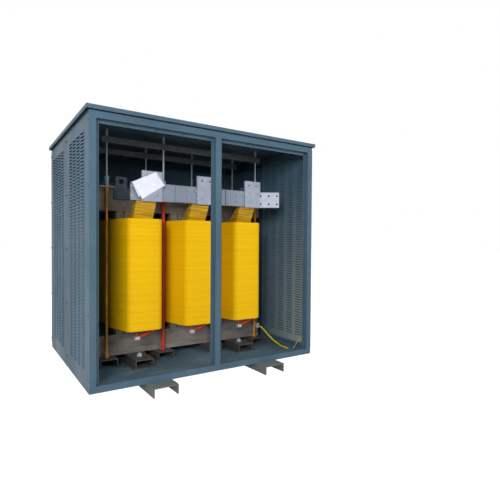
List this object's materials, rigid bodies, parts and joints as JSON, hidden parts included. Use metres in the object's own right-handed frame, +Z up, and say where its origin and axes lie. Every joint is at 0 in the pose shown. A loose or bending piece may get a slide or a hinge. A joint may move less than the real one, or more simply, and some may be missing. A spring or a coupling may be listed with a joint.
{
  "type": "dry-type power transformer in a louvred enclosure",
  "caption": "Dry-type power transformer with yellow coils, core, clamps and aluminium busbars in a blue-grey louvred steel enclosure on channel skids, front covers off.",
  "frame": {"origin": "middle of the footprint at floor level", "axes": "+X to the right seen from the open front, +Y to the back, +Z up"},
  "size_m": [2.113, 1.87, 2.11],
  "materials": {
    "enclosure_paint": "semi-gloss blue-grey powder coat",
    "floor_paint": "matt blue-grey paint",
    "base_steel": "dull grey primer",
    "core_steel": "matt grey-beige varnish",
    "coil_resin": "banded yellow resin, satin",
    "lead_tape": "varnished yellow tape",
    "block_resin": "pale pressed board",
    "busbar_aluminium": "drawn bar, satin",
    "rod_plating": "yellow passivated steel",
    "sleeve_red": "red shrink sleeve",
    "insulator_blue": "blue-grey moulding",
    "hanger_steel": "zinc-plated steel",
    "lug_paint": "dark grey paint",
    "sheet_paper": "plain white paper",
    "earth_sheath": "yellow sheath"
  },
  "bodies": {
    "root": {"bottom_rails": "enclosure_paint", "top_rails": "enclosure_paint", "corner_posts": "enclosure_paint", "centre_posts": "enclosure_paint", "side_posts": "enclosure_paint", "left_front_panel": "enclosure_paint", "left_back_panel": "enclosure_paint", "right_front_panel": "enclosure_paint", "right_back_panel": "enclosure_paint", "back_left_panel": "enclosure_paint", "back_right_panel": "enclosure_paint", "roof": "enclosure_paint", "skid_left": "floor_paint", "skid_right": "floor_paint", "floor_plate": "floor_paint", "support_channels": "base_steel", "front_feet": "base_steel", "back_feet": "base_steel", "lower_clamps": "base_steel", "lower_yoke": "core_steel", "upper_yoke": "core_steel", "leg_a": "core_steel", "leg_b": "core_steel", "leg_c": "core_steel", "upper_clamp_front": "core_steel", "upper_clamp_back": "core_steel", "coil_a": "coil_resin", "coil_b": "coil_resin", "coil_c": "coil_resin", "lead_a": "lead_tape", "lead_b": "lead_tape", "lead_c": "lead_tape", "lower_blocks": "block_resin", "upper_blocks": "block_resin", "neutral_bar": "busbar_aluminium", "terminal_a": "busbar_aluminium", "terminal_b": "busbar_aluminium", "terminal_c": "busbar_aluminium", "outer_tie_rods": "rod_plating", "inner_tie_rods": "sleeve_red", "tap_links": "sleeve_red", "hanger_insulators": "insulator_blue", "earth_lug": "insulator_blue", "earth_stud": "insulator_blue", "hanger_rods": "hanger_steel", "hanger_beams": "hanger_steel", "lifting_lugs": "lug_paint", "hanging_sheets": "sheet_paper", "earth_cable": "earth_sheath", "earth_wire": "earth_sheath"}
  },
  "joints": []
}
